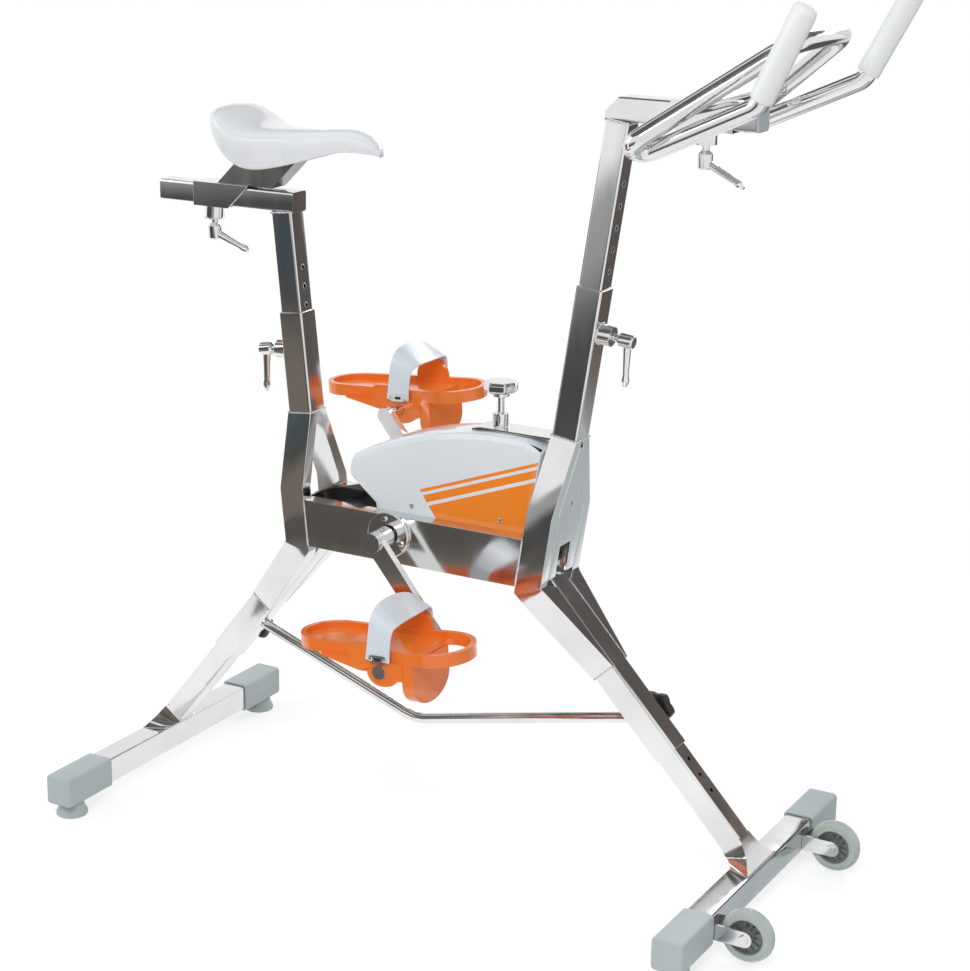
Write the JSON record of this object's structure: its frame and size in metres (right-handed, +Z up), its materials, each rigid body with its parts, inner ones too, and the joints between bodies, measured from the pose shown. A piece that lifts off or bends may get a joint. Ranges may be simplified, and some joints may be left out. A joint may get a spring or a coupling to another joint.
{
  "type": "aqua bike",
  "caption": "Stationary underwater exercise bike: stainless tube frame, sliding saddle and handlebar posts, strapped pedals, covered belt drive and brake, front transport wheels.",
  "frame": {"origin": "on the floor, midway along and across the bike's footprint", "axes": "+X towards the handlebar and transport wheels, +Y to the rider's left, +Z up"},
  "size_m": [1.139, 0.5586, 1.269],
  "materials": {
    "stainless": "polished stainless steel",
    "drive_steel": "dull",
    "hood": "gloss",
    "orange_plastic": "semi-gloss",
    "strap_rubber": "smooth",
    "black_rubber": "matt",
    "black_plastic": "matt",
    "white_plastic": "gloss",
    "white_grip": "satin",
    "grey_plastic": "satin",
    "foot_rubber": "matt",
    "wheel_plastic": "clear tinted"
  },
  "bodies": {
    "frame": {"front_mast_sleeve": "stainless", "rear_mast_sleeve": "stainless", "front_side_tube_left": "stainless", "front_side_tube_right": "stainless", "rear_side_tube_left": "stainless", "rear_side_tube_right": "stainless", "front_gusset": "stainless", "beam_left": "stainless", "beam_right": "stainless", "front_leg_sleeve": "stainless", "rear_leg_sleeve": "stainless", "stretcher": "stainless", "top_plate": "stainless", "rear_bracket": "stainless", "hood_left": "hood", "hood_right": "hood", "bearing_flange_left": "stainless", "bearing_flange_right": "stainless", "drive_belt": "black_rubber"},
    "crank": {"crank_axle": "drive_steel", "drive_pulley": "drive_steel", "crank_arm_left": "stainless", "crank_arm_right": "stainless"},
    "left_pedal": {"pedal_left": "orange_plastic", "strap_left": "strap_rubber"},
    "right_pedal": {"pedal_right": "orange_plastic", "strap_right": "strap_rubber"},
    "brake_disc": {"flywheel": "drive_steel"},
    "shoe": {"brake_shoe": "black_plastic"},
    "resistance_knob": {"brake_knob": "stainless"},
    "seat_mast": {"seat_post": "stainless"},
    "seat": {"saddle_slider": "stainless", "saddle_bracket": "drive_steel", "saddle": "white_plastic"},
    "bar_mast": {"bar_post": "stainless", "carrier_plug": "grey_plastic"},
    "bars": {"bar_slider": "stainless", "handlebar": "stainless", "grip_left": "white_grip", "grip_right": "white_grip"},
    "front_foot": {"front_leg": "stainless", "front_cap_left": "grey_plastic", "front_cap_right": "grey_plastic", "front_foot_left": "foot_rubber", "front_foot_right": "foot_rubber", "wheel_fork_left": "stainless", "wheel_fork_right": "stainless"},
    "rear_foot": {"rear_leg": "stainless", "rear_cap_left": "grey_plastic", "rear_cap_right": "grey_plastic", "rear_foot_left": "foot_rubber", "rear_foot_right": "foot_rubber"},
    "left_wheel": {"wheel_left": "wheel_plastic"},
    "right_wheel": {"wheel_right": "wheel_plastic"},
    "front_clamp": {"front_mast_lever": "stainless"},
    "rear_clamp": {"rear_mast_lever": "stainless"},
    "saddle_clamp": {"saddle_lever": "stainless"},
    "bar_clamp": {"bar_lever": "stainless"},
    "front_star": {"front_star_knob": "black_plastic"},
    "rear_star": {"rear_star_knob": "black_plastic"}
  },
  "joints": [
    {"name": "crank_spin", "type": "hinge", "parent": "frame", "child": "crank", "pos_m": [-0.09485, 0, 0.471], "axis": [0, 1, 0], "continuous": true},
    {"name": "left_pedal_spin", "type": "hinge", "parent": "crank", "child": "left_pedal", "pos_m": [-0.19869, 0.196, 0.59923], "axis": [0, 1, 0], "continuous": true},
    {"name": "right_pedal_spin", "type": "hinge", "parent": "crank", "child": "right_pedal", "pos_m": [0.00899, -0.196, 0.34277], "axis": [0, 1, 0], "continuous": true},
    {"name": "flywheel_spin", "type": "hinge", "parent": "frame", "child": "brake_disc", "pos_m": [0.05313, 0, 0.518], "axis": [0, 1, 0], "continuous": true},
    {"name": "knob_turn", "type": "hinge", "parent": "frame", "child": "resistance_knob", "pos_m": [0.05313, 0, 0.7], "axis": [0, 0, 1], "range_deg": [-180, 720]},
    {"name": "shoe_slide", "type": "slide", "parent": "frame", "child": "shoe", "axis": [0, 0, 1], "range_m": [-0.0011, 0.0042]},
    {"name": "seat_post_slide", "type": "slide", "parent": "frame", "child": "seat_mast", "axis": [-0.1044, 0, 0.9945], "range_m": [-0.028, 0.056]},
    {"name": "saddle_slide", "type": "slide", "parent": "seat_mast", "child": "seat", "axis": [1, 0, 0], "range_m": [-0.06, 0.04]},
    {"name": "bar_post_slide", "type": "slide", "parent": "frame", "child": "bar_mast", "axis": [0.1457, 0, 0.9893], "range_m": [-0.03, 0.122]},
    {"name": "bar_slide", "type": "slide", "parent": "bar_mast", "child": "bars", "axis": [1, 0, 0], "range_m": [-0.05, 0.03]},
    {"name": "front_leg_slide", "type": "slide", "parent": "frame", "child": "front_foot", "axis": [0.6805, 0, -0.7328], "range_m": [-0.06, 0.06]},
    {"name": "rear_leg_slide", "type": "slide", "parent": "frame", "child": "rear_foot", "axis": [-0.6233, 0, -0.782], "range_m": [-0.06, 0.06]},
    {"name": "left_wheel_spin", "type": "hinge", "parent": "front_foot", "child": "left_wheel", "pos_m": [0.53085, 0.161, 0.0423], "axis": [0, 1, 0], "continuous": true},
    {"name": "right_wheel_spin", "type": "hinge", "parent": "front_foot", "child": "right_wheel", "pos_m": [0.53085, -0.161, 0.0423], "axis": [0, 1, 0], "continuous": true},
    {"name": "front_clamp_turn", "type": "hinge", "parent": "frame", "child": "front_clamp", "pos_m": [0.22583, 0, 0.79126], "axis": [0.9893, 0, -0.1457], "range_deg": [-60, 60]},
    {"name": "rear_clamp_turn", "type": "hinge", "parent": "frame", "child": "rear_clamp", "pos_m": [-0.32484, 0, 0.70584], "axis": [-0.9945, 0, -0.1044], "range_deg": [-60, 60]},
    {"name": "saddle_clamp_turn", "type": "hinge", "parent": "seat", "child": "saddle_clamp", "pos_m": [-0.43719, 0, 0.892], "axis": [0, 0, -1], "range_deg": [-60, 60]},
    {"name": "bar_clamp_turn", "type": "hinge", "parent": "bars", "child": "bar_clamp", "pos_m": [0.3511, 0, 1.0636], "axis": [0, 0, -1], "range_deg": [-60, 60]},
    {"name": "front_star_turn", "type": "hinge", "parent": "frame", "child": "front_star", "pos_m": [0.29562, 0, 0.24897], "axis": [0, 1, 0], "range_deg": [-180, 180]},
    {"name": "rear_star_turn", "type": "hinge", "parent": "frame", "child": "rear_star", "pos_m": [-0.39471, 0, 0.25078], "axis": [0, 1, 0], "range_deg": [-180, 180]}
  ],
  "couplings": [
    {"joint": "flywheel_spin", "follows": "crank_spin", "ratio": 1.6034},
    {"joint": "shoe_slide", "follows": "knob_turn", "m_per_rad": 0.0003183}
  ]
}
